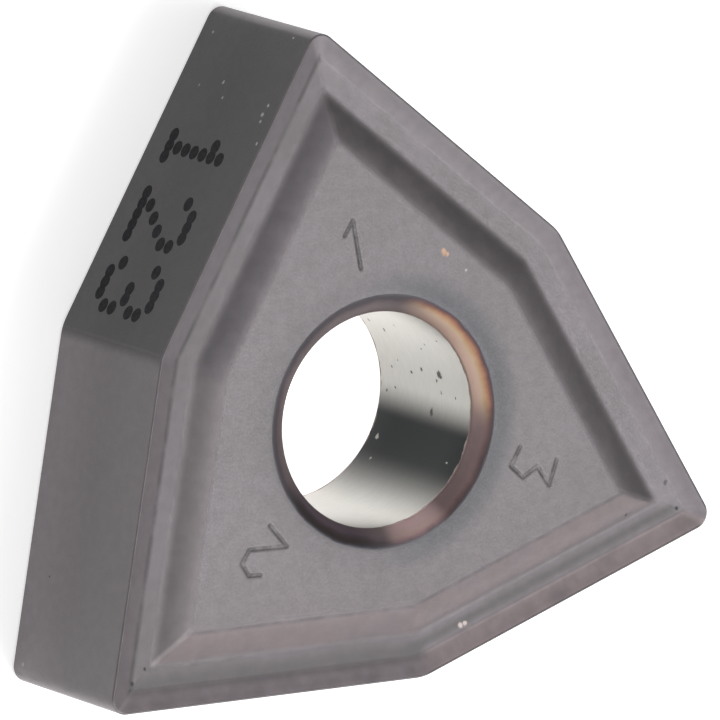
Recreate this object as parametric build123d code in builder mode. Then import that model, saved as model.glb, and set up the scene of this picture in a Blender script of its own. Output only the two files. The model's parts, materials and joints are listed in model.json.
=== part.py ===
"""Three-cornered carbide turning insert with a chip former and a seating pad on both faces.

Sizes are in millimetres and angles in degrees. Z is the bore axis, Z = 0 is mid-thickness, and one
cutting corner points along +Y. The lower face is the mirror image of the upper one.
"""

import math
import os

from build123d import *

# Outline: three cutting corners, with a blunt waist corner between each two
inscribed_diameter = 12.7  # circle that all six flanks touch
corner_angle = 80.0  # between the two flanks that meet at a cutting corner
corner_total = 3
nose_radius = 0.4  # rounding of a cutting corner
waist_radius = 1.3  # rounding of a waist corner

# Thickness and cutting edge
edge_thickness = 4.76  # from the cutting edges of one face to those of the other
edge_hone = 0.04  # rounding that strengthens the cutting edge

# Chip former, from the cutting edge inward: rake, floor, crowned wall, brow, pad
rake_width = 0.47
rake_drop = 0.167
floor_width = 0.58
floor_drop = 0.049
wall_width = 0.70
wall_rise = 0.246
wall_crown = 0.03  # how far the middle of the wall stands out from a straight slope
wall_facets = 3
brow_width = 0.04
brow_rise = 0.03
groove_corner_radius = 0.12  # rounding of the chip former's lines at a cutting corner
foot_waist_radius = 0.25  # rounding at a waist corner where the wall rises from the floor
pad_waist_radius = 1.5  # rounding at a waist corner of the seating pad

# Bore for the clamping pin, with a rounded mouth
bore_radius = 2.62
mouth_width = 0.47
mouth_depth = 0.32
mouth_crown = 0.08  # how far the mouth's rounding stands out from a straight countersink

# Heights and distances that follow
edge_height = edge_thickness / 2
lip_nose_radius = nose_radius - edge_hone
lip_waist_radius = waist_radius - edge_hone
kink_inset = edge_hone + rake_width
kink_waist_radius = waist_radius - kink_inset
kink_height = edge_height - rake_drop
foot_inset = kink_inset + floor_width
foot_height = kink_height - floor_drop
wall_top_inset = foot_inset + wall_width
wall_top_height = foot_height + wall_rise
pad_inset = wall_top_inset + brow_width
pad_height = wall_top_height + brow_rise
mouth_radius = bore_radius + mouth_width
throat_height = pad_height - mouth_depth


def outline(inset, height, corner_rounding, waist_rounding):
    """The insert's outline at a height, with its sides inset inward from the cutting edges."""
    side_distance = inscribed_diameter / 2 - inset
    corner_pitch = 360.0 / corner_total
    flank_turn = 90.0 - corner_angle / 2
    corner_reach = side_distance / math.cos(math.radians(flank_turn))
    waist_reach = side_distance / math.cos(math.radians(corner_pitch / 2 - flank_turn))
    points = []
    for index in range(corner_total):
        heading = 90.0 + index * corner_pitch
        points.append(Vector(corner_reach, 0).rotate(Axis.Z, heading))
        points.append(Vector(waist_reach, 0).rotate(Axis.Z, heading + corner_pitch / 2))
    centre = (0, 0, height)
    with BuildSketch(Plane.XY.offset(height)) as level:
        with BuildLine():
            Polyline(*points, close=True)
        make_face()
        fillet(level.vertices().sort_by_distance(centre)[-corner_total:], corner_rounding)
        fillet(level.vertices().sort_by_distance(centre)[:corner_total], waist_rounding)
    return level.sketch


def wall_outline(step, side):
    """The crowned wall's outline at one of its facet lines, counted up from the foot."""
    share = step / wall_facets
    crown = 4 * wall_crown * share * (1 - share)
    inset = foot_inset + wall_width * share
    height = foot_height + wall_rise * share + crown
    waist_rounding = foot_waist_radius + (pad_waist_radius - foot_waist_radius) * share
    return outline(inset, side * height, groove_corner_radius, waist_rounding)


with BuildPart() as insert_body:
    # Prism with flanks square to the faces, its cutting edges rounded all the way round
    extrude(outline(0, -edge_height, nose_radius, waist_radius), amount=edge_thickness)
    fillet(insert_body.faces().filter_by(Axis.Z).edges(), edge_hone)

    for side in (1, -1):
        # Groove inside the cutting edge: the sloping rake, then the nearly flat floor
        lip = outline(edge_hone, side * edge_height, lip_nose_radius, lip_waist_radius)
        kink = outline(kink_inset, side * kink_height, groove_corner_radius, kink_waist_radius)
        wall = [wall_outline(step, side) for step in range(wall_facets + 1)]
        loft([lip, kink, wall[0]], ruled=True, mode=Mode.SUBTRACT)

        # Wall that breaks the chip and rises from the groove to the raised seating pad
        pad = outline(pad_inset, side * pad_height, groove_corner_radius, pad_waist_radius)
        loft([*wall, pad], ruled=True)

    # Bore right through, with a rounded mouth at each pad
    with BuildSketch(Plane.XZ):
        with BuildLine():
            throat = (bore_radius, throat_height)
            mouth = (mouth_radius, pad_height)
            Line((0, 0), (bore_radius, 0))
            Line((bore_radius, 0), throat)
            SagittaArc(throat, mouth, mouth_crown)
            Line(mouth, (0, pad_height))
            Line((0, pad_height), (0, 0))
        make_face()
        mirror(about=Plane.XZ)
    revolve(axis=Axis.Z, mode=Mode.SUBTRACT)

insert_body.part.label = "insert_body"

os.makedirs("parts", exist_ok=True)
export_step(insert_body.part, "parts/insert_body.step")
print(f"volume {insert_body.part.volume:.1f} mm3, over the pads {2 * pad_height:.3f} mm")
print(f"cylindrical length of the bore {2 * throat_height:.3f} mm")
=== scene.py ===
"""A carbide turning insert in a plain studio: its coated body, its marks and its finishes.

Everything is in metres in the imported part's own frame: Z is the bore axis, Z = 0 is mid-thickness
and one cutting corner points along +Y. Sizes are written in millimetres and turned to metres by MM.
"""

import json
import logging
import math
from dataclasses import dataclass, field
from enum import Enum
from functools import partial, reduce

import bpy
import numpy as np
from bpy.types import Material, Node, NodeSocket, NodeTree, Object
from mathutils import Matrix, Vector


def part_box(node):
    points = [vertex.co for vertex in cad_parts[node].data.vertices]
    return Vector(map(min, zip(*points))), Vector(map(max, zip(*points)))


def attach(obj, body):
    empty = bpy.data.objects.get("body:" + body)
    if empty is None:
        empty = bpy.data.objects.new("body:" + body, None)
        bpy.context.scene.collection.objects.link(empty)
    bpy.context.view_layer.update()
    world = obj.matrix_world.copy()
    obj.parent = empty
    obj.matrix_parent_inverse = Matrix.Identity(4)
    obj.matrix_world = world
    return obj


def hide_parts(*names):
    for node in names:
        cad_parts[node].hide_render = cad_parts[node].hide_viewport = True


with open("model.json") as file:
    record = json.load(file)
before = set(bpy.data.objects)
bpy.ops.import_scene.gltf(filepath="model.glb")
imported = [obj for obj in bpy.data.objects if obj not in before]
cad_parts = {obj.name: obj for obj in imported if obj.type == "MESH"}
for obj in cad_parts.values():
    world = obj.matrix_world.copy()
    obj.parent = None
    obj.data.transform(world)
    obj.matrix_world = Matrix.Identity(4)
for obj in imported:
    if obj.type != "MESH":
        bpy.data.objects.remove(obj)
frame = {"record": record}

MM = 0.001
EDGE_BELOW_PAD = 0.06 * MM
TEAR_WIDTH = 0.16 * MM
SPOT_CORE = 0.4
WIDE_SPOT_CORE = 0.6
NOISE_RANGE = (0.3, 0.7)
EVEN_PLACES = (0.0, 0.3, 0.5, 0.7, 0.85, 1.0)
LATE_PLACES = (0.0, 0.3, 0.55, 0.75, 0.9, 1.0)
GOLD_PLACES = (0.0, 0.3, 0.45, 0.58, 0.7, 0.81, 0.92, 1.0)
PLUM_PLACES = (0.0, 0.3, 0.45, 0.58, 0.7, 0.82, 0.92, 1.0)
SINGLE_RESULTS = ("LENGTH", "DISTANCE", "DOT_PRODUCT")

Array = np.ndarray
Stops = tuple[tuple[float, str], ...]
Range = tuple[float, ...]

log = logging.getLogger("insert")


def linear_colour(hex_code: str) -> tuple[float, float, float, float]:
    """Turns an sRGB hex colour into the linear colour that shaders take.

    Args:
        hex_code: six hex digits, such as "8f8a8c".

    Returns:
        Linear red, green and blue, with an alpha of 1.
    """
    coded = np.array([int(hex_code[start:start + 2], 16) for start in (0, 2, 4)]) / 255
    linear = np.where(coded <= 0.04045, coded / 12.92, ((coded + 0.055) / 1.055) ** 2.4)
    return (*(float(channel) for channel in linear), 1.0)


def add_node(tree: NodeTree, kind: str, links: dict | None = None, stops: Stops = (),
             **settings: str) -> Node:
    """Adds one shader node with its settings, its colour stops and what feeds it.

    Args:
        tree: the tree that gets it.
        kind: its type, such as "ShaderNodeTexNoise".
        links: input name or index, to the socket that feeds it or the constant that it holds.
        stops: place and hex colour of each stop of a colour ramp.
        **settings: its properties.

    Returns:
        The new node.
    """
    node = tree.nodes.new(kind)
    for name, value in settings.items():
        setattr(node, name, value)
    for name, source in (links or {}).items():
        if isinstance(source, NodeSocket):
            tree.links.new(source, node.inputs[name])
        else:
            node.inputs[name].default_value = source
    for index, (place, hex_code) in enumerate(stops):
        elements = node.color_ramp.elements
        element = elements[index] if index < len(elements) else elements.new(place)
        element.position = place
        element.color = linear_colour(hex_code)
    return node


def linked(name: str, data: bpy.types.ID) -> Object:
    """A new object that carries the data, linked to the scene."""
    thing = bpy.data.objects.new(name, data)
    bpy.context.scene.collection.objects.link(thing)
    return thing


def mesh_object(name: str, points: Array, faces: list[list[int]], normals: Array | None = None,
                smooth: bool = True) -> Object:
    """Puts points and faces into a new mesh at the origin.

    Args:
        name: the object's name.
        points: one row of x, y, z for each point, in metres.
        faces: the point numbers of each face.
        normals: one unit normal for each point, if the shading isn't left to the faces.
        smooth: whether the faces are shaded smooth.

    Returns:
        The new object, linked to the scene.
    """
    mesh = bpy.data.meshes.new(name)
    mesh.from_pydata(points.tolist(), [], faces)
    mesh.polygons.foreach_set("use_smooth", np.full(len(faces), smooth))
    if normals is not None:
        mesh.normals_split_custom_set_from_vertices(normals.tolist())
    mesh.update()
    return linked(name, mesh)


def closed_grid_quads(rows: int, columns: int) -> Array:
    """Quads of a grid that closes on itself both ways, like the skin of a ring.

    The face at row i and column j joins (i, j), (i, j + 1), (i + 1, j + 1) and (i + 1, j), where a
    number past the last starts again at nought.

    Args:
        rows: lines of points round the section.
        columns: points in each line.

    Returns:
        Four point numbers for each face, seen from outside.
    """
    row, column = np.meshgrid(np.arange(rows), np.arange(columns), indexing="ij")
    next_row = (row + 1) % rows
    next_column = (column + 1) % columns
    corners = (row * columns + column, row * columns + next_column,
               next_row * columns + next_column, next_row * columns + column)
    return np.stack(corners, axis=-1).reshape(-1, 4)


def area_weighted_normals(points: Array, quads: Array) -> Array:
    """Point normals in which each face counts by its area, so that large flat faces shade flat.

    Half the cross product of a quad's diagonals is its normal times its area. These are added up at
    the quad's four points, and each sum is scaled to length 1.

    Args:
        points: x, y and z of each point.
        quads: four point numbers for each face.

    Returns:
        One unit normal for each point.
    """
    first, second, third, fourth = (points[quads[:, corner]] for corner in range(4))
    face_normals = np.cross(third - first, fourth - second) / 2
    sums = np.zeros_like(points)
    for corner in range(4):
        np.add.at(sums, quads[:, corner], face_normals)
    return sums / np.linalg.norm(sums, axis=1, keepdims=True)


def smooth_max(first: Array, second: Array, blend: float) -> Array:
    """The larger of two heights, with a fillet where they cross.

    Where they differ by less than blend, a quarter of blend times the square of the share that
    is left is added, which joins both curves without a kink.
    """
    near = np.maximum(blend - np.abs(first - second), 0) / blend
    return np.maximum(first, second) + near ** 2 * blend / 4


def stretched(ends: list | tuple, counts: list | tuple) -> Array:
    """Even steps from each end towards the next, as many as its count, without the last end."""
    return np.concatenate([np.linspace(start, end, count, endpoint=False)
                           for start, end, count in zip(ends[:-1], ends[1:], counts)])


def direction(heading: float, elevation: float) -> Vector:
    """Unit vector from the part towards a heading and an elevation, both in degrees."""
    around, above = math.radians(heading), math.radians(elevation)
    return Vector((math.cos(above) * math.cos(around), math.cos(above) * math.sin(around), math.sin(above)))


@dataclass(frozen=True)
class Trigon:
    """The insert's outline: six straight sides that touch one circle, three corners, three waists."""

    inscribed_radius: float
    corner_angle: float = 80.0
    corner_total: int = 3
    first_corner: float = 90.0

    @property
    def pitch(self) -> float:
        """Angle from one cutting corner to the next, in radians."""
        return math.tau / self.corner_total

    def from_corner(self, heading: Array) -> Array:
        """Angle of each heading from its nearest cutting corner, up to half a pitch, in radians."""
        turned = heading - math.radians(self.first_corner) + self.pitch / 2
        return np.abs(turned % self.pitch - self.pitch / 2)

    def reach(self, heading: Array, inset: Array, corner_rounding: Array,
              waist_rounding: Array) -> Array:
        """Distance from the axis to the outline along each heading.

        A straight side lies at (inscribed radius - inset) / cos(angle from the side's normal). A
        rounding is a circle centred on its bisector at distance c, which a ray at angle a from the
        bisector meets at c cos a + sqrt(rounding² - c² sin² a).

        Args:
            heading: polar angles in radians.
            inset: how far inside the cutting edges the outline lies.
            corner_rounding: radius at the cutting corners.
            waist_rounding: radius at the waists.

        Returns:
            The distances, in the shape that the arguments broadcast to.
        """
        corner_offset = self.from_corner(heading)
        waist_offset = self.pitch / 2 - corner_offset
        corner_turn = math.radians(90 - self.corner_angle / 2)
        waist_turn = self.pitch / 2 - corner_turn
        side = self.inscribed_radius - inset
        reach = side / np.cos(corner_turn - corner_offset)
        bends = ((corner_offset, corner_turn, corner_rounding), (waist_offset, waist_turn, waist_rounding))
        for offset, turn, rounding in bends:
            centre = (side - rounding) / math.cos(turn)
            end = np.arctan2(rounding * math.sin(turn), centre + rounding * math.cos(turn))
            under_root = np.maximum(rounding ** 2 - (centre * np.sin(offset)) ** 2, 0)
            reach = np.where(offset < end, centre * np.cos(offset) + np.sqrt(under_root), reach)
        return reach


@dataclass(frozen=True)
class ChipFormer:
    """The groove and wall between a cutting edge and the seating pad, as heights over the inset.

    The solid's small brow at the top of the wall is worked into the wall here, and every line where two
    stretches meet gets a fillet.
    """

    edge_height: float
    hone: float = 0.05 * MM
    nose_radius: float = 0.4 * MM
    waist_radius: float = 1.3 * MM
    rake_width: float = 0.46 * MM
    rake_drop: float = 0.167 * MM
    rake_sag: float = 0.007 * MM
    floor_width: float = 0.58 * MM
    floor_drop: float = 0.049 * MM
    wall_width: float = 0.78 * MM
    wall_rise: float = 0.276 * MM
    wall_crown: float = 0.04 * MM
    groove_corner_radius: float = 0.12 * MM
    foot_waist_radius: float = 0.25 * MM
    pad_waist_radius: float = 1.5 * MM
    kink_blend: float = 0.012 * MM
    foot_blend: float = 0.085 * MM
    pad_blend: float = 0.012 * MM
    kink_reach: float = 0.08 * MM
    foot_reach: float = 0.16 * MM
    pad_reach: float = 0.05 * MM
    hone_rows: int = 5
    stretch_rows: tuple[int, ...] = (4, 5, 2, 8, 6, 8)

    @property
    def kink_inset(self) -> float:
        """Inset of the line between rake and floor."""
        return self.hone + self.rake_width

    @property
    def foot_inset(self) -> float:
        """Inset of the line where the wall rises from the floor."""
        return self.kink_inset + self.floor_width

    @property
    def pad_inset(self) -> float:
        """Inset of the seating pad's edge, at the top of the wall."""
        return self.foot_inset + self.wall_width

    def height(self, inset: Array) -> Array:
        """Height over the insets: hollow rake, floor and crowned wall, cut off by the pad.

        Each stretch is a straight line, less a parabola as deep as the sag on the rake, plus one as
        high as the crown on the wall. The highest counts, with a fillet at each crossing.

        Args:
            inset: distances inside the cutting edge, from the hone's end inward.

        Returns:
            The heights above mid-thickness.
        """
        kink_height = self.edge_height - self.rake_drop
        foot_height = kink_height - self.floor_drop
        rake_share = (inset - self.hone) / self.rake_width
        hollow = np.clip(rake_share, 0, 1)
        rake = self.edge_height - self.rake_drop * rake_share - 4 * self.rake_sag * hollow * (1 - hollow)
        floor = kink_height - (inset - self.kink_inset) * self.floor_drop / self.floor_width
        share = (inset - self.foot_inset) / self.wall_width
        wall = foot_height + self.wall_rise * share + 4 * self.wall_crown * share * (1 - share)
        rising = smooth_max(smooth_max(rake, floor, self.kink_blend), wall, self.foot_blend)
        pad = np.full_like(inset, foot_height + self.wall_rise)
        return -smooth_max(-rising, -pad, self.pad_blend)

    def section(self) -> Array:
        """The section from mid-thickness to the pad, as rows of inset, height and the two roundings.

        The hone is a quarter circle from the flank to the rake. The rows then crowd where the
        section bends, and the roundings change straight from one line of the chip former to the next.

        Returns:
            One row for each line of points: inset, height, corner rounding, waist rounding.
        """
        quarter = np.linspace(0, math.pi / 2, self.hone_rows, endpoint=False)
        hone_inset = self.hone * (1 - np.cos(quarter))
        hone_height = self.edge_height - self.hone * (1 - np.sin(quarter))
        kink, foot, pad = self.kink_inset, self.foot_inset, self.pad_inset
        ends = (self.hone, kink - self.kink_reach, kink + self.kink_reach, foot - self.foot_reach,
                foot + self.foot_reach, pad - self.pad_reach, pad + self.pad_reach)
        groove_inset = np.append(stretched(ends, self.stretch_rows), ends[-1])
        inset = np.concatenate([[0.0], hone_inset, groove_inset])
        height = np.concatenate([[0.0], hone_height, self.height(groove_inset)])
        corner = np.interp(inset, [0, self.hone, kink],
                           [self.nose_radius, self.nose_radius - self.hone, self.groove_corner_radius])
        waist = np.interp(inset, [0, kink, foot, pad], [self.waist_radius, self.waist_radius - kink,
                                                        self.foot_waist_radius, self.pad_waist_radius])
        return np.column_stack([inset, height, corner, waist])


@dataclass(frozen=True)
class SunkNumeral:
    """One numeral pressed into a pad near a cutting corner, drawn with straight strokes."""

    digit: int
    corner: float
    distance: float = 4.42 * MM
    height: float = 1.2 * MM
    width: float = 0.72 * MM
    stroke: float = 0.17 * MM
    depth: float = 0.014 * MM

    STROKES = {
        1: ((0.2, 0.75), (0.6, 1.0), (0.6, 0.0)),
        2: ((0.0, 0.8), (0.3, 1.0), (0.8, 0.95), (0.95, 0.65), (0.0, 0.0), (1.0, 0.0)),
        3: ((0.05, 1.0), (0.95, 1.0), (0.45, 0.6), (0.95, 0.35), (0.7, 0.0), (0.0, 0.08)),
        4: ((0.7, 0.0), (0.7, 1.0), (0.0, 0.3), (1.0, 0.3)),
        5: ((0.95, 1.0), (0.15, 1.0), (0.1, 0.55), (0.75, 0.6), (0.95, 0.25), (0.6, 0.0), (0.0, 0.05)),
        6: ((0.8, 1.0), (0.15, 0.5), (0.1, 0.1), (0.5, 0.0), (0.95, 0.2), (0.75, 0.5), (0.15, 0.45)),
    }

    def sink(self, x: Array, y: Array) -> Array:
        """Depth of the strokes at each point of the pad.

        The distance to the nearest stroke, as a share of half its width, is squared and taken from 1,
        and the square of that, times the depth, is the round-bottomed groove.

        Args:
            x: the points' x.
            y: the points' y.

        Returns:
            Depths below the pad, nought away from the strokes.
        """
        heading = math.radians(self.corner)
        across = (x * math.sin(heading) - y * math.cos(heading)) / self.width + 0.5
        up = (x * math.cos(heading) + y * math.sin(heading) - self.distance) / self.height + 0.5
        scale = np.array([self.width, self.height])
        point = np.stack([across, up], axis=-1) * scale
        corners = np.array(self.STROKES[self.digit]) * scale
        nearest = np.full(x.shape, np.inf)
        for start, end in zip(corners[:-1], corners[1:]):
            run = end - start
            share = np.clip((point - start) @ run / (run @ run), 0, 1)
            gap = np.linalg.norm(point - start - share[..., None] * run, axis=-1)
            nearest = np.minimum(nearest, gap)
        left = np.maximum(1 - (2 * nearest / self.stroke) ** 2, 0)
        return self.depth * left ** 2


@dataclass(frozen=True)
class Bore:
    """The clamping bore and the rounded mouth that it has at each pad."""

    radius: float
    pad_height: float
    mouth_width: float = 0.47 * MM
    mouth_depth: float = 0.32 * MM
    mouth_crown: float = 0.055 * MM
    mouth_rows: int = 10
    wall_rows: int = 4

    @property
    def mouth_radius(self) -> float:
        """Radius at which the mouth starts in the pad."""
        return self.radius + self.mouth_width

    @property
    def throat_height(self) -> float:
        """Height at which the mouth ends and the bore's straight wall starts."""
        return self.pad_height - self.mouth_depth

    def mouth_section(self) -> tuple[Array, Array]:
        """The mouth as an arc on the chord from pad to throat.

        For a chord c and a crown s the arc's radius is (c²/4 + s²) / 2s and its half angle is twice
        the arctangent of 2s / c. The arc's points are at equal angles.

        Returns:
            Distances from the axis and heights, from the pad to the throat.
        """
        chord = math.hypot(self.mouth_width, self.mouth_depth)
        arc_radius = (chord ** 2 / 4 + self.mouth_crown ** 2) / (2 * self.mouth_crown)
        half_angle = 2 * math.atan(2 * self.mouth_crown / chord)
        angle = np.linspace(-half_angle, half_angle, self.mouth_rows)
        along = arc_radius * np.sin(angle) / chord
        out = arc_radius * (np.cos(angle) - math.cos(half_angle)) / chord
        distance = self.radius + self.mouth_width * (0.5 - along) - self.mouth_depth * out
        height = self.throat_height + self.mouth_depth * (0.5 - along) + self.mouth_width * out
        return distance, height


class Face(Enum):
    """Which of the insert's two cutting faces, by the sign of its height."""

    UPPER = 1
    LOWER = -1


class Zone(Enum):
    """Stretches of the body that take their own finish, by material index."""

    COATED = 0
    MOUTH = 1
    GROUND = 2


@dataclass
class InsertBody:
    """The insert's whole skin: one grid of lines round the axis, carried round the closed section."""

    outline: Trigon
    former: ChipFormer
    bore: Bore
    mark_inner: float = 3.72 * MM
    mark_outer: float = 5.12 * MM
    mark_rows: int = 46
    mark_clearance: float = 0.1 * MM
    closing_rows: int = 5
    mark_half_angle: float = 9.0
    mark_step: float = 0.32
    bend_half_angle: float = 2.2
    bend_step: float = 0.14
    waist_half_angle: float = 3.6
    waist_step: float = 0.24
    plain_step: float = 2.0
    piece: Object | None = field(default=None, init=False)

    def headings(self) -> Array:
        """Polar angles of the grid's columns, crowded at the corners, the marks and the waists.

        The steps of half a pitch, from a corner to the next waist, are laid out once, mirrored about
        the waist and repeated at each corner.

        Returns:
            Ascending angles in radians, one for each column.
        """
        half_pitch = math.degrees(self.outline.pitch) / 2
        ends = (0, self.bend_half_angle, self.mark_half_angle,
                half_pitch - self.waist_half_angle, half_pitch)
        steps = (self.bend_step, self.mark_step, self.plain_step, self.waist_step)
        counts = [round((end - start) / step) for start, end, step in zip(ends[:-1], ends[1:], steps)]
        half = stretched(ends, counts)
        sector = np.concatenate([half, [half_pitch], 2 * half_pitch - half[:0:-1]])
        corners = self.outline.first_corner + 2 * half_pitch * np.arange(self.outline.corner_total)
        return np.radians((corners[:, None] + sector[None, :]).ravel())

    def pad_distances(self, edge: Array) -> Array:
        """Distances from the axis of the pad's lines, from its edge to the mouth.

        The lines close in on the ring that holds the marks, cross it at even steps and then close
        in on the mouth.

        Args:
            edge: distance of the pad's edge at each heading.

        Returns:
            One row for each line and one column for each heading.
        """
        ring_outer = np.minimum(self.mark_outer, edge - self.mark_clearance)
        ends = [edge, ring_outer, np.full_like(edge, self.mark_inner),
                np.full_like(edge, self.bore.mouth_radius)]
        return stretched(ends, (self.closing_rows, self.mark_rows, self.closing_rows))[1:]

    def face_skin(self, heading: Array,
                  numerals: list[SunkNumeral]) -> tuple[Array, Array, list]:
        """Distances and heights of the half section from mid-flank to the throat.

        Args:
            heading: polar angles of the columns.
            numerals: the numerals pressed into this face's pad.

        Returns:
            Distances and heights, a row for each line, and how many lines each zone takes.
        """
        section = self.former.section()
        inset, height, corner, waist = (column[:, None] for column in section.T)
        outer = self.outline.reach(heading[None, :], inset, corner, waist)
        pad = self.pad_distances(outer[-1])
        sunk = sum(numeral.sink(pad * np.cos(heading), pad * np.sin(heading)) for numeral in numerals)
        mouth, mouth_height = self.bore.mouth_section()
        columns = np.ones((1, len(heading)))
        distance = np.concatenate([outer, pad, mouth[:, None] * columns])
        heights = np.concatenate([height * columns, self.bore.pad_height - sunk,
                                  mouth_height[:, None] * columns])
        return distance, heights, [len(outer) + len(pad), len(mouth)]

    def build(self, numerals: dict[Face, list[SunkNumeral]]) -> Object:
        """Builds the skin as one closed grid.

        The upper half section runs from mid-flank over the cutting edge to the throat, the bore's
        wall follows, and the lower half section, mirrored in Z, leads back to mid-flank.

        Args:
            numerals: the sunk numerals of each face.

        Returns:
            The finished piece.
        """
        heading = self.headings()
        upper_distance, upper_height, counts = self.face_skin(heading, numerals[Face.UPPER])
        lower_distance, lower_height, _ = self.face_skin(heading, numerals[Face.LOWER])
        throat = self.bore.throat_height
        wall_height = np.linspace(throat, -throat, self.bore.wall_rows + 2)[1:-1, None]
        wall = np.ones((self.bore.wall_rows, len(heading)))
        distance = np.concatenate([upper_distance, self.bore.radius * wall, lower_distance[:0:-1]])
        height = np.concatenate([upper_height, wall_height * wall, -lower_height[:0:-1]])
        points = np.stack([distance * np.cos(heading), distance * np.sin(heading), height], axis=-1)
        rows, columns = distance.shape
        points = points.reshape(-1, 3)
        quads = closed_grid_quads(rows, columns)
        normals = area_weighted_normals(points, quads)
        self.piece = mesh_object("coated_insert", points, quads.tolist(), normals)
        coated, mouth = counts
        order = (Zone.COATED, Zone.MOUTH, Zone.GROUND, Zone.MOUTH, Zone.COATED)
        taken = (coated, mouth - 1, self.bore.wall_rows + 1, mouth - 1)
        zones = np.repeat([zone.value for zone in order], (*taken, rows - sum(taken)))
        self.piece.data.polygons.foreach_set("material_index", np.repeat(zones, columns).astype(np.int32))
        return self.piece

    def dress(self, finishes: dict[Zone, Material]) -> None:
        """Gives each zone its material, in the order of the zones' indices."""
        for zone in Zone:
            self.piece.data.materials.append(finishes[zone])


@dataclass
class PrintedDots:
    """Dot-matrix numerals printed on one flank, each dot a low dome of ink."""

    outline: Trigon
    flank_heading: float = 140.0
    centre_along: float = -2.0 * MM
    centre_height: float = -0.25 * MM
    digits: tuple[int, ...] = (1, 2, 3)
    column_pitch: float = 0.28 * MM
    row_pitch: float = 0.39 * MM
    digit_pitch: float = 1.8 * MM
    dot_radius: float = 0.19 * MM
    ink_height: float = 0.004 * MM
    dot_sides: int = 16
    piece: Object | None = field(default=None, init=False)

    RINGS = ((1.0, -0.5), (0.92, 0.8), (0.5, 1.0))
    PATTERNS = {
        1: ("..#..", ".##..", "..#..", "..#..", "..#..", "..#..", ".###."),
        2: (".###.", "#...#", "....#", "...#.", "..#..", ".#...", "#####"),
        3: (".###.", "#...#", "....#", "..##.", "....#", "#...#", ".###."),
    }

    def dot_places(self) -> Array:
        """Centre of each dot on the flank, as distance along it and height."""
        places = []
        for index, digit in enumerate(self.digits):
            pattern = np.array([list(row) for row in self.PATTERNS[digit]]) == "#"
            row, column = np.nonzero(pattern)
            centre = (np.array(pattern.shape) - 1) / 2
            start = self.centre_along + (index - (len(self.digits) - 1) / 2) * self.digit_pitch
            places.append(np.column_stack([start + (column - centre[1]) * self.column_pitch,
                                           self.centre_height + (centre[0] - row) * self.row_pitch]))
        return np.concatenate(places)

    def build(self) -> Object:
        """Builds every dot as a shallow dome of rings, closed at its top and its back.

        A ring's point at angle a lies at the dot's centre plus the ring's radius times cos a along
        the flank and sin a up it, and the ring's height stands out from the flank.

        Returns:
            The finished piece.
        """
        heading = math.radians(self.flank_heading)
        out = (math.cos(heading), math.sin(heading), 0)
        axes = np.array([(-out[1], out[0], 0), (0, 0, 1), out])
        angle = np.linspace(0, math.tau, self.dot_sides, endpoint=False)
        circle = np.column_stack([np.cos(angle), np.sin(angle), np.ones(self.dot_sides)])
        rings = np.stack([circle * (self.dot_radius * radius, self.dot_radius * radius,
                                    self.ink_height * height) for radius, height in self.RINGS])
        places = self.dot_places()
        centres = np.column_stack([places, np.full(len(places), self.outline.inscribed_radius)])
        points = ((centres[:, None, None] + rings) @ axes).reshape(-1, 3)
        levels, side = len(self.RINGS), np.arange(self.dot_sides)
        offsets = np.arange(len(places))[:, None] * levels * self.dot_sides
        one_dot = closed_grid_quads(levels, self.dot_sides)[:-self.dot_sides]
        quads = (one_dot + offsets[..., None]).reshape(-1, 4)
        caps = offsets + (levels - 1) * self.dot_sides + side
        backs = offsets + side[::-1]
        faces = [*quads.tolist(), *caps.tolist(), *backs.tolist()]
        self.piece = mesh_object("printed_numerals", points, faces, smooth=False)
        return self.piece

    def dress(self, ink: Material) -> None:
        """Gives the dots their ink."""
        self.piece.data.materials.append(ink)


def tree_of(*values: object) -> NodeTree:
    """The node tree of the first of the values that is a socket."""
    return next(value.id_data for value in values if isinstance(value, NodeSocket))


def calculate(operation: str, *values: NodeSocket | float) -> NodeSocket:
    """Result of one operation on single values."""
    node = add_node(tree_of(*values), "ShaderNodeMath", dict(enumerate(values)), operation=operation)
    return node.outputs["Value"]


def calculate_vector(operation: str, *values: NodeSocket | tuple | Vector) -> NodeSocket:
    """Result of one operation on vectors, which is a single value for a length, distance or dot product."""
    node = add_node(tree_of(*values), "ShaderNodeVectorMath", dict(enumerate(values)), operation=operation)
    return node.outputs["Value" if operation in SINGLE_RESULTS else "Vector"]


def product(*shares: NodeSocket | float) -> NodeSocket:
    """Several shares multiplied together."""
    return reduce(partial(calculate, "MULTIPLY"), shares)


def highest(*values: NodeSocket | float) -> NodeSocket:
    """The largest of several values."""
    return reduce(partial(calculate, "MAXIMUM"), values)


def ranged(value: NodeSocket, start: float, end: float, low: float = 0.0, high: float = 1.0) -> NodeSocket:
    """Carries a value smoothly from low at start to high at end, and holds it outside them."""
    links = {"Value": value, "From Min": start, "From Max": end, "To Min": low, "To Max": high}
    node = add_node(value.id_data, "ShaderNodeMapRange", links, interpolation_type="SMOOTHSTEP")
    return node.outputs["Result"]


def mixed(share: NodeSocket, first: NodeSocket | str, second: NodeSocket | str) -> NodeSocket:
    """Mixes two colours, each a socket or an sRGB hex code, by a share of the second."""
    colours = [linear_colour(colour) if isinstance(colour, str) else colour for colour in (first, second)]
    node = add_node(share.id_data, "ShaderNodeMix", {"Factor": share, 6: colours[0], 7: colours[1]},
                    data_type="RGBA")
    return node.outputs[2]


def layered(colour: NodeSocket, *layers: tuple[NodeSocket, NodeSocket | str]) -> NodeSocket:
    """A colour with further ones laid over it in turn, each by its share."""
    for share, shown in layers:
        colour = mixed(share, colour, shown)
    return colour


def scaled(colour: NodeSocket, factor: NodeSocket) -> NodeSocket:
    """A colour with its three channels multiplied by one factor."""
    node = add_node(colour.id_data, "ShaderNodeVectorMath", {0: colour, "Scale": factor}, operation="SCALE")
    return node.outputs["Vector"]


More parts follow.
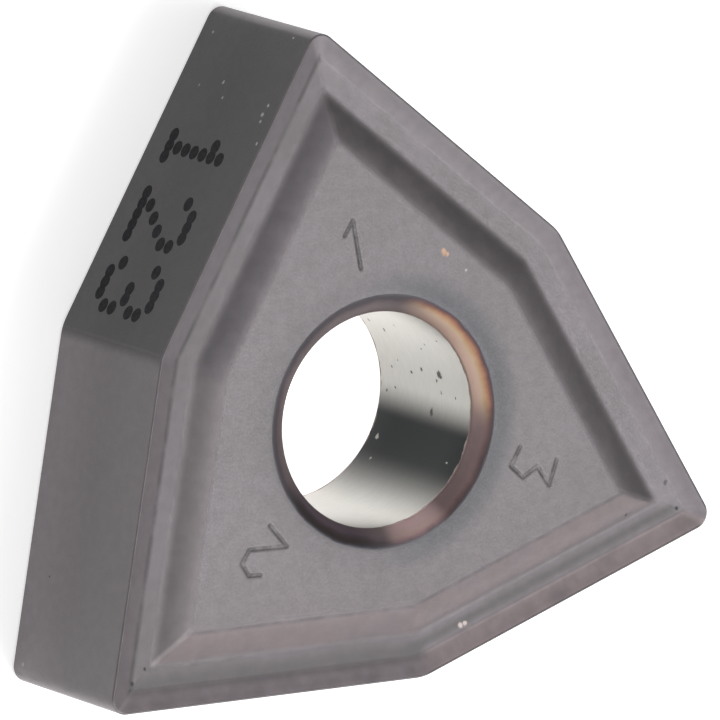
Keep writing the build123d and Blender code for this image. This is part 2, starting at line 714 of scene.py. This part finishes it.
def ramp(share: NodeSocket, places: Range, hex_codes: str) -> NodeSocket:
    """The colour at a share, from the stops' places and their hex codes in one line of text."""
    stops = tuple(zip(places, hex_codes.split()))
    return add_node(share.id_data, "ShaderNodeValToRGB", {"Fac": share}, stops=stops).outputs["Color"]


def principled(colour: NodeSocket | tuple, roughness: NodeSocket | float, metallic: float = 0.0,
               others: dict | None = None) -> NodeSocket:
    """The principled shader with its main inputs, and with any others by name."""
    links = {"Base Color": colour, "Roughness": roughness, "Metallic": metallic, **(others or {})}
    return add_node(tree_of(*links.values()), "ShaderNodeBsdfPrincipled", links).outputs["BSDF"]


def noise(place: NodeSocket, width: float, detail: float = 2.0, output: str = "Fac") -> NodeSocket:
    """Smooth noise about 0.5, its lumps as wide as the width in metres, with detail finer layers."""
    links = {"Vector": place, "Scale": 1 / width, "Detail": detail}
    return add_node(place.id_data, "ShaderNodeTexNoise", links).outputs[output]


def uneven(place: NodeSocket, width: float, detail: float = 2.0, low: float = 0.0,
           high: float = 1.0) -> NodeSocket:
    """Noise carried from low to high over the range that it mostly keeps to."""
    return ranged(noise(place, width, detail), *NOISE_RANGE, low, high)


def part_of(place: NodeSocket, axis: str) -> NodeSocket:
    """One coordinate of a place, by the axis's capital letter."""
    return add_node(place.id_data, "ShaderNodeSeparateXYZ", {0: place}).outputs[axis]


def axis_distance(place: NodeSocket) -> NodeSocket:
    """Distance of each point from the bore's axis."""
    return calculate_vector("LENGTH", calculate_vector("MULTIPLY", place, (1, 1, 0)))


def side_distance(place: NodeSocket, *headings: float) -> NodeSocket:
    """Greatest distance of each point from the axis, measured square to the flanks at the headings."""
    return highest(*(calculate_vector("DOT_PRODUCT", place, direction(heading, 0)) for heading in headings))


def facing(place: NodeSocket, heading: float) -> NodeSocket:
    """Cosine of the angle round the axis between each point and a heading."""
    return calculate("DIVIDE", side_distance(place, heading), axis_distance(place))


def line_at(value: NodeSocket, centre: float, half_width: float) -> NodeSocket:
    """Share of a soft line: 1 where the value is at the centre, 0 beyond half the width from it."""
    offset = calculate("ABSOLUTE", calculate("SUBTRACT", value, centre))
    return ranged(offset, 0.0, half_width, 1.0, 0.0)


def torn(place: NodeSocket, reach: float) -> NodeSocket:
    """The place, pushed about by noise up to the reach, so that spots drawn there come out ragged."""
    centred = calculate_vector("SUBTRACT", noise(place, TEAR_WIDTH, 3.0, "Color"), (0.5, 0.5, 0.5))
    return calculate_vector("MULTIPLY_ADD", centred, (2 * reach,) * 3, place)


def scattered(place: NodeSocket, spacing: float, radius: float, chosen: float) -> NodeSocket:
    """Share of small spots, one at a random place in each chosen cell of a random cell pattern.

    Args:
        place: the point's coordinates.
        spacing: width of a cell, in metres.
        radius: radius of a spot, in metres.
        chosen: share of the cells that have a spot.

    Returns:
        1 inside a spot and 0 outside.
    """
    tree, size = place.id_data, radius / spacing
    cells = add_node(tree, "ShaderNodeTexVoronoi", {"Vector": place, "Scale": 1 / spacing})
    inside = ranged(cells.outputs["Distance"], WIDE_SPOT_CORE * size, size, 1.0, 0.0)
    draw = add_node(tree, "ShaderNodeSeparateColor", {"Color": cells.outputs["Color"]}).outputs["Red"]
    return product(inside, calculate("LESS_THAN", draw, chosen))


@dataclass(frozen=True)
class Speck:
    """One small spot at a given place in millimetres: a grain of dust, a chip, a nick or a pit."""

    place: tuple[float, float, float]
    radius: float

    def share(self, place: NodeSocket) -> NodeSocket:
        """1 at the speck's centre, falling to 0 at its radius."""
        gap = calculate_vector("DISTANCE", place, Vector(self.place) * MM)
        return ranged(gap, SPOT_CORE * self.radius * MM, self.radius * MM, 1.0, 0.0)


def all_specks(place: NodeSocket, specks: tuple[Speck, ...]) -> NodeSocket:
    """Share of whichever speck is nearest."""
    return highest(*(speck.share(place) for speck in specks))


@dataclass(frozen=True)
class Finish:
    """A material built of nodes in the part's own coordinates."""

    NAME = "plain"

    def surface(self, place: NodeSocket) -> NodeSocket:
        """The finish's shader at each place."""
        raise NotImplementedError

    def material(self) -> Material:
        """Builds the node material."""
        material = bpy.data.materials.new(self.NAME)
        material.use_nodes = True
        tree = material.node_tree
        tree.nodes.clear()
        place = add_node(tree, "ShaderNodeTexCoord").outputs["Object"]
        add_node(tree, "ShaderNodeOutputMaterial", {"Surface": self.surface(place)})
        return material


class Survey:
    """What the coating's patterns ask about each shaded point, worked out once for all of them.

    Its sockets are the inset inside the nearest flank, nought on the flanks themselves, the height
    above mid-thickness and the same towards either face, and the radius from the bore's axis.
    """

    SIDE_FADE = 0.12 * MM

    def __init__(self, place: NodeSocket, side_reach: float, headings: tuple[float, ...]) -> None:
        """Adds the nodes that measure each point."""
        self.place = place
        self.side_reach = side_reach
        self.inset = calculate("SUBTRACT", side_reach, side_distance(place, *headings))
        self.signed_height = part_of(place, "Z")
        self.height = calculate("ABSOLUTE", self.signed_height)
        self.radius = axis_distance(place)

    def beside(self, *headings: float) -> NodeSocket:
        """1 where one of the sides at the headings is the nearest, fading to 0 beyond its corners."""
        reach = calculate("ADD", side_distance(self.place, *headings), self.inset)
        return ranged(reach, self.side_reach - self.SIDE_FADE, self.side_reach)

    def within(self, start: float, end: float, fade: float) -> NodeSocket:
        """1 at the insets from start to end, fading to 0 over the fade on each side."""
        return product(ranged(self.inset, start - fade, start + fade),
                       ranged(self.inset, end + fade, end - fade))


@dataclass(frozen=True)
class SoftLine:
    """A dark line of painted shade along the chip former on the sides at the headings, its sizes in
    millimetres.
    """

    headings: tuple[float, ...]
    inset: float
    half_width: float
    darkness: float

    def share(self, survey: Survey) -> NodeSocket:
        """How dark the line is at each point."""
        line = line_at(survey.inset, self.inset * MM, self.half_width * MM)
        return product(line, survey.beside(*self.headings), self.darkness)


@dataclass(frozen=True)
class SideFilmAndLight:
    """The film on one side, its tone partly painted light and shade: the colours of its rake and wall, and
    a dull line on its floor, in mm.
    """

    heading: float
    rake: str
    wall: str
    dull_inset: float = 0.0
    dull_half_width: float = 0.0


@dataclass(frozen=True)
class PaintedFlankLight:
    """Painted light and shade on one flank: its colours near the upper cutting edge and near the floor."""

    heading: float
    top: str
    bottom: str


@dataclass(frozen=True)
class CoatedCarbide(Finish):
    """Cemented carbide with a PVD titanium aluminium nitride coating, pressed, sintered and satin.

    A hard ceramic film with a metal's lustre: violet grey, cloudy and finely grained. It is paler on
    the rakes and rosy on two sides, partly painted light, and darker where it thins towards the bore.
    Painted light lightens the top of each wall, painted shade darkens the printed flank, and the two
    flanks at headings 140 and 160 grow lighter towards the floor as a painted reflection of it. Soft
    broken lines of painted shade follow the chip former, painted shade darkens the pressed numerals
    and four cutting edges, and a few pits, chips, nicks and grains of dust show.

    A range holds the start and end, and often the values there, that ranged() takes. Those for the
    flanks' films and the shaded edges are in widths of the hone.
    """

    side_reach: float
    former: ChipFormer
    pad_height: float
    body: str = "5d595b"
    cloud: str = "645f62"
    # paler rakes, partly painted light
    land: str = "696467"
    # painted light on the top of each wall
    painted_wall_light: str = "6a6467"
    pad_near: str = "635f61"
    pad_far: str = "5d585a"
    dull: str = "524f50"
    thin: str = "4d4d50"
    # dark: taken both by the painted shade and by the real pits and spots
    dark: str = "242325"
    dust: str = "858280"
    chip: str = "957a66"
    nick: str = "a89d99"
    metallic: float = 0.5
    roughness: float = 0.46
    roughness_swing: float = 0.05
    grain: float = 0.05 * MM
    grain_strength: float = 0.3
    grain_height: float = 0.004 * MM
    mottle_width: float = 0.28 * MM
    patch_width: float = 0.9 * MM
    cloud_width: float = 2.4 * MM
    thin_inner: float = 3.25 * MM
    thin_outer: float = 3.9 * MM
    thin_heading: float = 350.0
    pad_heading: float = 270.0
    pad_fade: Range = (1.2 * MM, 5.0 * MM)
    pad_share: float = 0.7
    flank_fade: Range = (-2.6 * MM, 0.3 * MM)
    side_headings: Range = (20.0, 40.0, 140.0, 160.0, 260.0, 280.0)
    # painted shade on four cutting edges' roundings, by heading
    shaded_edges: tuple[Range, ...] = ((20.0, 0.6), (40.0, 0.35), (260.0, 0.35), (280.0, 0.7))
    fade: float = 0.03 * MM
    wall_fade: float = 0.1 * MM
    tear: float = 0.05 * MM
    cloud_range: Range = (0.35, 0.65)
    patch_range: Range = (0.3, 0.6, 0.5, 1.0)
    thin_range: Range = (-0.2, 0.5, 0.25, 1.0)
    break_range: Range = (0.35, 0.6, 0.6, 1.2)
    sunk_shade_range: Range = (0.35, 0.6, 0.15, 0.6)
    mottle_swing: Range = (0.95, 1.05)
    grain_range: Range = (0.2, 0.8)
    flank_top: Range = (0.6, 1.0)
    flank_inset: Range = (2.0, 1.2)
    shade_inset: Range = (1.6, 0.8)
    shade_top: Range = (1.2, 0.7)
    line_breaks: float = 0.6 * MM
    sunk_shade_width: float = 0.3 * MM
    sunk_shade_depth: Range = (0.001 * MM, 0.009 * MM)
    sunk_shade_inset: Range = (0.06 * MM, 0.1 * MM)
    dark_spots: Range = (1.3 * MM, 0.035 * MM, 0.35)
    dust_spots: Range = (1.7 * MM, 0.03 * MM, 0.3)
    # each side's rake and wall tone is partly the film's own hue and partly painted light and shade
    sides: tuple[SideFilmAndLight, ...] = (
        SideFilmAndLight(280.0, "918586", "6a6162", 0.74, 0.2),
        SideFilmAndLight(260.0, "837b7f", "6a6162", 0.64, 0.38),
        SideFilmAndLight(160.0, "6e686b", "686364"),
        SideFilmAndLight(140.0, "6e696c", "5c585c"),
        SideFilmAndLight(20.0, "6f696d", "5b5759"),
        SideFilmAndLight(40.0, "6f6a6d", "555153"),
    )
    # painted shade darkens the printed flank at 140, and painted floor light lightens both flanks towards
    # the bottom
    flanks: tuple[PaintedFlankLight, ...] = (PaintedFlankLight(160.0, "595557", "6e686b"),
                                     PaintedFlankLight(140.0, "393738", "494749"))
    # painted shade in the chip former's creases, along its groove floor and at the pad's edge
    lines: tuple[SoftLine, ...] = (
        SoftLine((140.0, 160.0), 0.05, 0.06, 0.2),
        SoftLine((140.0, 160.0), 0.54, 0.13, 0.45),
        SoftLine((140.0, 160.0), 0.75, 0.35, 0.06),
        SoftLine((20.0, 40.0), 0.5, 0.09, 0.12),
        SoftLine((20.0, 40.0), 0.75, 0.4, 0.1),
        SoftLine((140.0, 160.0, 260.0), 1.01, 0.1, 0.25),
        SoftLine((260.0, 280.0), 1.06, 0.06, 0.1),
        SoftLine((260.0, 280.0), 1.78, 0.1, 0.3),
        SoftLine((140.0, 160.0, 260.0), 1.86, 0.07, 0.1),
    )
    chips: tuple[Speck, ...] = (Speck((2.364, 3.585, 2.44), 0.11), Speck((2.45, 3.52, 2.44), 0.07))
    nicks: tuple[Speck, ...] = (Speck((1.29, -5.54, 2.19), 0.09), Speck((1.42, -5.53, 2.19), 0.08))
    motes: tuple[Speck, ...] = (
        Speck((2.878, 2.988, 2.44), 0.05), Speck((-0.53, 9.25, -1.82), 0.06),
        Speck((-1.24, 8.41, -0.41), 0.06), Speck((-1.56, 8.02, 1.85), 0.08),
        Speck((-1.39, 8.22, 1.91), 0.06), Speck((-1.68, 7.88, 1.91), 0.05),
        Speck((-2.02, 7.47, 2.17), 0.05), Speck((-1.48, 8.12, -0.14), 0.05),
        Speck((-1.38, 8.23, -1.36), 0.04), Speck((-0.28, 9.55, 1.63), 0.05),
        Speck((-8.37, -4.43, -1.92), 0.08),
    )
    pits: tuple[Speck, ...] = (
        Speck((7.49, -3.71, 2.25), 0.09), Speck((7.68, -4.42, 2.2), 0.06),
        Speck((6.28, -4.17, 2.17), 0.06), Speck((-7.73, -4.38, 2.22), 0.08),
        Speck((-7.31, -4.13, 2.2), 0.06), Speck((-0.7, 8.21, 2.25), 0.05),
    )

    NAME = "pvd_coated_carbide"

    def tint(self, survey: Survey) -> NodeSocket:
        """The film's colour before its lines and spots.

        The clouds come first, then the flanks' painted light and shade, the rakes, the wall tops' painted
        light, each side's own film with its painted light and shade, the pad's slow change of tone, and
        last the thin ring and the fine mottle.
        """
        place, inset, former = survey.place, survey.inset, self.former
        hone, pad_inset = former.hone, former.pad_inset
        cloudy = ranged(noise(place, self.cloud_width, 3.0), *self.cloud_range)
        colour = mixed(cloudy, self.body, self.cloud)
        below_hone = ranged(survey.height, *(former.edge_height - share * hone for share in self.flank_top))
        on_flank = product(below_hone, ranged(inset, *(share * hone for share in self.flank_inset)))
        rising = ranged(survey.signed_height, *self.flank_fade)
        # painted flank light: a darker printed flank, and a lighter bottom standing in for the floor's
        # reflection
        for flank in self.flanks:
            film = mixed(rising, flank.bottom, flank.top)
            colour = mixed(product(on_flank, survey.beside(flank.heading)), colour, film)
        # the paler rakes are partly painted light
        on_rake = survey.within(0.8 * hone, former.kink_inset, self.fade)
        colour = mixed(on_rake, colour, self.land)
        # painted light: lightens the top of each wall
        near_top = ranged(inset, former.foot_inset + self.wall_fade, pad_inset - 1.5 * self.wall_fade)
        wall_top = product(near_top, ranged(inset, pad_inset, pad_inset - 0.8 * self.wall_fade))
        colour = mixed(wall_top, colour, self.painted_wall_light)
        on_wall = survey.within(former.foot_inset, pad_inset - self.wall_fade, self.wall_fade)
        patchy = ranged(noise(place, self.patch_width, 3.0), *self.patch_range)
        # each side's own film, its brightness partly painted light and shade
        for side in self.sides:
            beside = survey.beside(side.heading)
            colour = layered(colour, (product(on_rake, beside, patchy), side.rake),
                             (product(on_wall, beside, patchy), side.wall))
            if side.dull_half_width:
                dull = line_at(inset, side.dull_inset * MM, side.dull_half_width * MM)
                colour = mixed(product(dull, beside), colour, self.dull)
        on_pad = ranged(inset, pad_inset - self.fade, pad_inset + self.fade)
        across = ranged(side_distance(place, self.pad_heading), *self.pad_fade)
        colour = mixed(product(on_pad, self.pad_share), colour, mixed(across, self.pad_near, self.pad_far))
        turned = ranged(facing(place, self.thin_heading), *self.thin_range)
        ring = ranged(survey.radius, self.thin_outer, self.thin_inner)
        colour = mixed(product(ring, turned), colour, self.thin)
        return scaled(colour, uneven(place, self.mottle_width, 5.0, *self.mottle_swing))

    def line_shade(self, survey: Survey) -> NodeSocket:
        """Share of the soft lines of painted shade, broken up by noise."""
        broken = ranged(noise(survey.place, self.line_breaks, 4.0), *self.break_range)
        return product(highest(*(line.share(survey) for line in self.lines)), broken)

    def edge_shade(self, survey: Survey) -> NodeSocket:
        """Share of the painted shade on the rounding at four of the six cutting edges, of both faces."""
        hone, top = self.former.hone, self.former.edge_height
        darkest = highest(*(product(survey.beside(heading), darkness)
                            for heading, darkness in self.shaded_edges))
        return product(darkest, ranged(survey.inset, *(share * hone for share in self.shade_inset)),
                       ranged(survey.height, *(top - share * hone for share in self.shade_top)))

    def sunk_shade(self, survey: Survey) -> NodeSocket:
        """Share of the painted shade in the pressed numerals, the only places below the pad inside its
        edge.
        """
        sunk = ranged(survey.height, *(self.pad_height - depth for depth in self.sunk_shade_depth))
        inside = ranged(survey.inset, *(self.former.pad_inset + inset for inset in self.sunk_shade_inset))
        patchy = ranged(noise(survey.place, self.sunk_shade_width), *self.sunk_shade_range)
        return product(sunk, inside, patchy)

    def surface(self, place: NodeSocket) -> NodeSocket:
        """The coating's shader: its tint, lines and spots, and the grain that breaks up its shine."""
        survey = Survey(place, self.side_reach, self.side_headings)
        ragged = torn(place, self.tear)
        # painted shade of the lines, edges and sunk numerals first, then the real pits, spots, chips, nicks
        # and dust
        colour = layered(
            self.tint(survey), (self.line_shade(survey), self.dark), (self.edge_shade(survey), self.dark),
            (self.sunk_shade(survey), self.dark), (all_specks(ragged, self.pits), self.dark),
            (scattered(ragged, *self.dark_spots), self.dark),
            (scattered(ragged, *self.dust_spots), self.dust),
            (all_specks(ragged, self.chips), self.chip), (all_specks(ragged, self.nicks), self.nick),
            (all_specks(ragged, self.motes), self.dust))
        grain = noise(place, self.grain)
        links = {"Height": grain, "Strength": self.grain_strength, "Distance": self.grain_height}
        bump = add_node(place.id_data, "ShaderNodeBump", links)
        rough = ranged(grain, *self.grain_range, self.roughness - self.roughness_swing,
                       self.roughness + self.roughness_swing)
        return principled(colour, rough, self.metallic, {"Normal": bump.outputs["Normal"]})


@dataclass(frozen=True)
class FilmAndLightSector:
    """Colours of the thin film, with painted light and shade, on the part of the mouth round one heading,
    from bore to pad.

    The film's hex codes stand at the places, from the throat at 0 to the pad at 1. They are full
    where the cosine of the angle from the heading passes full_from, and gone below none_below.
    """

    heading: float
    none_below: float
    full_from: float
    places: Range
    film: str


@dataclass(frozen=True)
class MouthFilm(Finish):
    """The same coating on the bore's rounded mouth, thinner, so that it shows interference colours.

    Slate grey to begin with and darker towards one waist, copper and gold beside the next, rosy and
    plum on the far side with a pale patch between, and darkest just before it meets the pad. The darker
    slate and the plum are painted shade, the pale patch is a painted highlight, and the brightness of
    the other colours round the mouth is partly painted light.
    """

    throat_radius: float
    mouth_radius: float
    roughness: float = 0.6
    metallic: float = 0.85
    wander: float = 0.02 * MM
    wander_width: float = 0.5 * MM
    slate: str = "908384 817677 72676a 585054 4e4c51 5c595c"
    sectors: tuple[FilmAndLightSector, ...] = (
        # painted shade: the darker slate
        FilmAndLightSector(95.0, 0.64, 0.9, EVEN_PLACES, "7b7071 6e6566 61585a 4b4447 434145 4f4c4f"),
        FilmAndLightSector(18.0, 0.6, 0.93,
                   GOLD_PLACES, "a58e84 b79e91 b5a18d ac8e70 94705d 704f48 443f41 5b555f"),
        FilmAndLightSector(312.0, 0.71, 0.9, LATE_PLACES, "988485 827070 766363 5a4949 423c3e 4e4a4f"),
        # painted shade: the plum sector, on the side turned from the lamps
        FilmAndLightSector(228.0, 0.82, 0.978,
                   PLUM_PLACES, "7a6c74 6b5f68 544b50 473e3f 3d3636 3c3738 46454b 626065"),
        # painted highlight: the pale patch
        FilmAndLightSector(279.0, 0.945, 0.999, LATE_PLACES, "e8cacc d2b6b5 b9a09b 92787a 655c5f 605c61"),
    )

    NAME = "thin_coating_on_mouth"

    def surface(self, place: NodeSocket) -> NodeSocket:
        """The film's shader: colours that change over the mouth's radius and round it, with painted light
        and shade round it.
        """
        radius = calculate("ADD", axis_distance(place),
                           uneven(place, self.wander_width, 3.0, -self.wander, self.wander))
        links = {"Value": radius, "From Min": self.throat_radius, "From Max": self.mouth_radius}
        share = add_node(place.id_data, "ShaderNodeMapRange", links).outputs["Result"]
        colour = ramp(share, EVEN_PLACES, self.slate)
        for sector in self.sectors:
            shown = ranged(facing(place, sector.heading), sector.none_below, sector.full_from)
            colour = mixed(shown, colour, ramp(share, sector.places, sector.film))
        return principled(colour, self.roughness, self.metallic)


@dataclass(frozen=True)
class GroundCarbide(Finish):
    """Bare cemented carbide, ground round the bore: bright, with fine rings and dark pits.

    A soft dark band down the wall is a painted reflection of the unlit side of the room, with a little
    painted shade beside that band, and a few scratches in it are painted glints. It keeps a ragged
    brown rim of coating at each mouth.
    """

    throat_height: float
    metal: str = "c8c6c0"
    # painted reflection: the dark band's colour
    shade: str = "1a1c1d"
    pit: str = "3a3634"
    rim: str = "6e6460"
    glint: str = "8a8883"
    roughness: float = 0.3
    seam: float = 200.0
    shade_start: float = 272.0
    shade_full: float = 315.0
    shade_turns: float = 333.0
    shade_end: float = 353.0
    half_shade_end: float = 405.0
    half_shade: float = 0.32
    ring_stretch: Range = (0.15, 0.15, 1.0)
    ring_width: float = 0.05 * MM
    ring_swing: Range = (0.96, 1.03)
    pitted_heading: float = 12.0
    pitted_from: float = 1.4 * MM
    pitted_full: float = 2.4 * MM
    small_pits: Range = (0.42 * MM, 0.05 * MM, 0.6)
    tear: float = 0.11 * MM
    rim_fade: Range = (0.05 * MM, 0.02 * MM)
    rim_wander: float = 0.03 * MM
    rim_lumps: float = 0.3 * MM
    pits: tuple[Speck, ...] = (
        Speck((2.41, 1.02, -1.18), 0.07), Speck((2.45, 0.94, 0.6), 0.08), Speck((2.62, 0.15, -0.08), 0.09),
        Speck((2.62, 0.16, 0.77), 0.14), Speck((2.55, -0.62, -1.82), 0.06),
        Speck((2.49, -0.82, 0.32), 0.11),
        Speck((2.28, 1.3, -0.42), 0.05), Speck((2.61, 0.24, -1.13), 0.05), Speck((2.5, 0.78, 0.3), 0.05),
        Speck((2.6, -0.3, 0.75), 0.05), Speck((2.3, 1.25, -1.7), 0.07), Speck((2.62, 0.0, -1.5), 0.04),
    )
    # scratches painted as pale glints within the dark band
    scratch_glints: tuple[Speck, ...] = (Speck((2.05, -1.63, -1.72), 0.09), Speck((1.95, -1.75, 1.6), 0.06),
                                    Speck((1.64, -2.05, -1.5), 0.05))

    NAME = "ground_carbide"

    def turn(self, heading: float) -> float:
        """A heading as a share of the full turn that starts at the seam."""
        return ((heading - self.seam) % 360) / 360

    def shading(self, place: NodeSocket) -> NodeSocket:
        """The metal's colour round the wall with its painted reflection: the dark band and the half shade
        beside it.
        """
        angle = calculate("ARCTAN2", part_of(place, "Y"), part_of(place, "X"))
        turns = calculate("DIVIDE", angle, math.tau)
        around = calculate("FRACT", calculate("SUBTRACT", turns, self.seam / 360))
        rising = ranged(around, self.turn(self.shade_start), self.turn(self.shade_full))
        falling = ranged(around, self.turn(self.shade_turns), self.turn(self.shade_end), 1.0, 0.0)
        clearing = ranged(around, self.turn(self.shade_end), self.turn(self.half_shade_end), 1.0, 0.0)
        half_shaded = product(calculate("MINIMUM", rising, clearing), self.half_shade)
        banded = calculate("MINIMUM", rising, falling)
        return layered(mixed(half_shaded, self.metal, self.shade), (banded, self.shade))

    def surface(self, place: NodeSocket) -> NodeSocket:
        """The ground metal's shader: the painted reflection, rings, pits, scratches painted as glints and
        the rim of coating.
        """
        rings = calculate_vector("MULTIPLY", place, self.ring_stretch)
        colour = scaled(self.shading(place), uneven(rings, self.ring_width, 3.0, *self.ring_swing))
        spots = torn(place, self.tear)
        reach = side_distance(place, self.pitted_heading)
        small = product(scattered(spots, *self.small_pits),
                        ranged(reach, self.pitted_from, self.pitted_full))
        ragged = uneven(place, self.rim_lumps, 5.0, -self.rim_wander, self.rim_wander)
        height = calculate("ADD", calculate("ABSOLUTE", part_of(place, "Z")), ragged)
        rimmed = ranged(height, *(self.throat_height - drop for drop in self.rim_fade))
        colour = layered(colour, (highest(small, all_specks(spots, self.pits)), self.pit),
                         (all_specks(spots, self.scratch_glints), self.glint), (rimmed, self.rim))
        return principled(colour, self.roughness, 1.0)


@dataclass(frozen=True)
class MarkingInk(Finish):
    """Black solvent ink, dried matt, that lets a little of the grain through."""

    black: str = "0d0c0f"
    grey: str = "1c1b1f"
    roughness: float = 0.7
    specular: float = 0.15
    blotch_width: float = 0.09 * MM

    NAME = "marking_ink"

    def surface(self, place: NodeSocket) -> NodeSocket:
        """The ink's shader."""
        colour = mixed(uneven(place, self.blotch_width), self.black, self.grey)
        return principled(colour, self.roughness, others={"Specular IOR Level": self.specular})


@dataclass(frozen=True)
class FloorBoard(Finish):
    """Matt white board on a light table: half lit from behind, and fully lit below the bore."""

    glow_radius: float
    board: str = "e6e6e6"
    roughness: float = 0.9
    half_lit: float = 0.5
    fully_lit: float = 1.0
    glow_outer: float = 1.2
    glow_inner: float = 1.1

    NAME = "matt_white_floor"

    def surface(self, place: NodeSocket) -> NodeSocket:
        """The board's shader, with its two strengths of glow."""
        glow = ranged(axis_distance(place), self.glow_radius * self.glow_outer,
                      self.glow_radius * self.glow_inner, self.half_lit, self.fully_lit)
        return principled(linear_colour(self.board), self.roughness,
                          others={"Emission Color": linear_colour("ffffff"), "Emission Strength": glow})


@dataclass(frozen=True)
class SoftLight:
    """One square soft box that faces the part from a direction and a distance."""

    name: str
    heading: float
    elevation: float
    power: float
    size: float = 0.2
    distance: float = 0.4

    def place(self) -> Object:
        """Creates the light, turned to face the origin."""
        data = bpy.data.lights.new(self.name, "AREA")
        data.size = self.size
        data.energy = self.power
        lamp = linked(self.name, data)
        towards = direction(self.heading, self.elevation)
        turned = towards.to_track_quat("Z", "Y").to_matrix().to_4x4()
        lamp.matrix_world = Matrix.Translation(towards * self.distance) @ turned
        lamp.visible_camera = False
        return lamp


@dataclass(frozen=True)
class PhotoCamera:
    """The camera at the photograph's angle: it looks down on the upper face, rolled on its side."""

    heading: float = 149.665
    elevation: float = 57.728
    roll: float = 106.987
    distance: float = 466.380 * MM
    aim: tuple[float, float, float] = (-0.3213 * MM, 1.6324 * MM, 2.3687 * MM)
    lens: float = 979.69
    nearest: float = 10 * MM

    def place(self) -> Object:
        """Creates the camera and makes it the scene's camera.

        The camera's back points from the aim to the camera. Its right starts level, square to that,
        and both turn about the back by the roll.
        """
        back = direction(self.heading, self.elevation)
        level = direction(self.heading + 90, 0)
        upright = back.cross(level)
        turn = math.radians(self.roll)
        right = level * math.cos(turn) + upright * math.sin(turn)
        top = upright * math.cos(turn) - level * math.sin(turn)
        data = bpy.data.cameras.new("photo_camera")
        data.lens = self.lens
        data.clip_start = self.nearest
        camera = linked("photo_camera", data)
        axes = Matrix((right, top, back)).transposed().to_4x4()
        camera.matrix_world = Matrix.Translation(Vector(self.aim) + back * self.distance) @ axes
        bpy.context.scene.camera = camera
        return camera


@dataclass
class Studio:
    """A plain white floor under the part, soft boxes round it and a lit disc of floor below the bore."""

    floor_height: float
    glow_radius: float
    floor_size: float = 3.0
    sky_colour: str = "ffffff"
    sky_strength: float = 0.31
    lights: tuple[SoftLight, ...] = (
        SoftLight("low_left", 210, 12, 0.65),
        SoftLight("low_right", 300, 12, 0.53),
        SoftLight("high_left", 240, 60, 0.19),
        SoftLight("high_right", 300, 60, 0.67),
        SoftLight("high_back", 330, 60, 0.38),
        SoftLight("high_front", 150, 60, 0.1),
        SoftLight("overhead", 0, 90, 0.12),
    )

    def build(self) -> None:
        """Lays the floor, hangs the lights and sets the sky and the plain view of colours."""
        half = self.floor_size / 2
        corners = half * np.array([(-1, -1), (1, -1), (1, 1), (-1, 1)])
        points = np.column_stack([corners, np.full(4, self.floor_height)])
        floor = mesh_object("floor", points, [[0, 1, 2, 3]])
        floor.data.materials.append(FloorBoard(self.glow_radius).material())
        world = bpy.data.worlds.new("even_sky")
        world.use_nodes = True
        background = world.node_tree.nodes["Background"]
        background.inputs["Color"].default_value = linear_colour(self.sky_colour)
        background.inputs["Strength"].default_value = self.sky_strength
        bpy.context.scene.world = world
        bpy.context.scene.view_settings.view_transform = "Standard"
        for light in self.lights:
            light.place()


def mount(name: str) -> dict:
    """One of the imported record's mounts."""
    return next(entry for entry in frame["record"]["mounts"] if entry["name"] == name)


def main() -> None:
    """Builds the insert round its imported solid, dresses it, and sets the studio and the camera."""
    logging.basicConfig(level=logging.INFO, format="%(name)s: %(message)s")
    low_corner, high_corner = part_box("insert_body")
    pad_height = high_corner.z
    flank = mount("locating_flank_1")
    outline = Trigon(inscribed_radius=float(np.dot(flank["pos_m"], flank["axis"])))
    former = ChipFormer(edge_height=pad_height - EDGE_BELOW_PAD)
    bore = Bore(radius=mount("clamp_bore")["dims"]["r_mm"] * MM, pad_height=pad_height)
    turn = math.degrees(outline.pitch)
    corners = [outline.first_corner + turn * index for index in range(outline.corner_total)]
    digits = {Face.UPPER: (1, 2, 3), Face.LOWER: (4, 5, 6)}
    numerals = {face: [SunkNumeral(*pair) for pair in zip(digits[face], corners)] for face in Face}
    body = InsertBody(outline, former, bore)
    piece = body.build(numerals)
    coating = CoatedCarbide(outline.inscribed_radius, former, pad_height)
    body.dress({Zone.COATED: coating.material(),
                Zone.MOUTH: MouthFilm(bore.radius, bore.mouth_radius).material(),
                Zone.GROUND: GroundCarbide(bore.throat_height).material()})
    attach(piece, "root")
    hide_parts("insert_body")
    log.info("%s: %d faces", piece.name, len(piece.data.polygons))
    dots = PrintedDots(outline)
    print_piece = dots.build()
    dots.dress(MarkingInk().material())
    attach(print_piece, "root")
    log.info("%s: %d faces", print_piece.name, len(print_piece.data.polygons))
    Studio(floor_height=low_corner.z, glow_radius=bore.radius).build()
    PhotoCamera().place()
    log.info("studio and camera placed")


if __name__ == "__main__":
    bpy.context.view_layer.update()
    main()
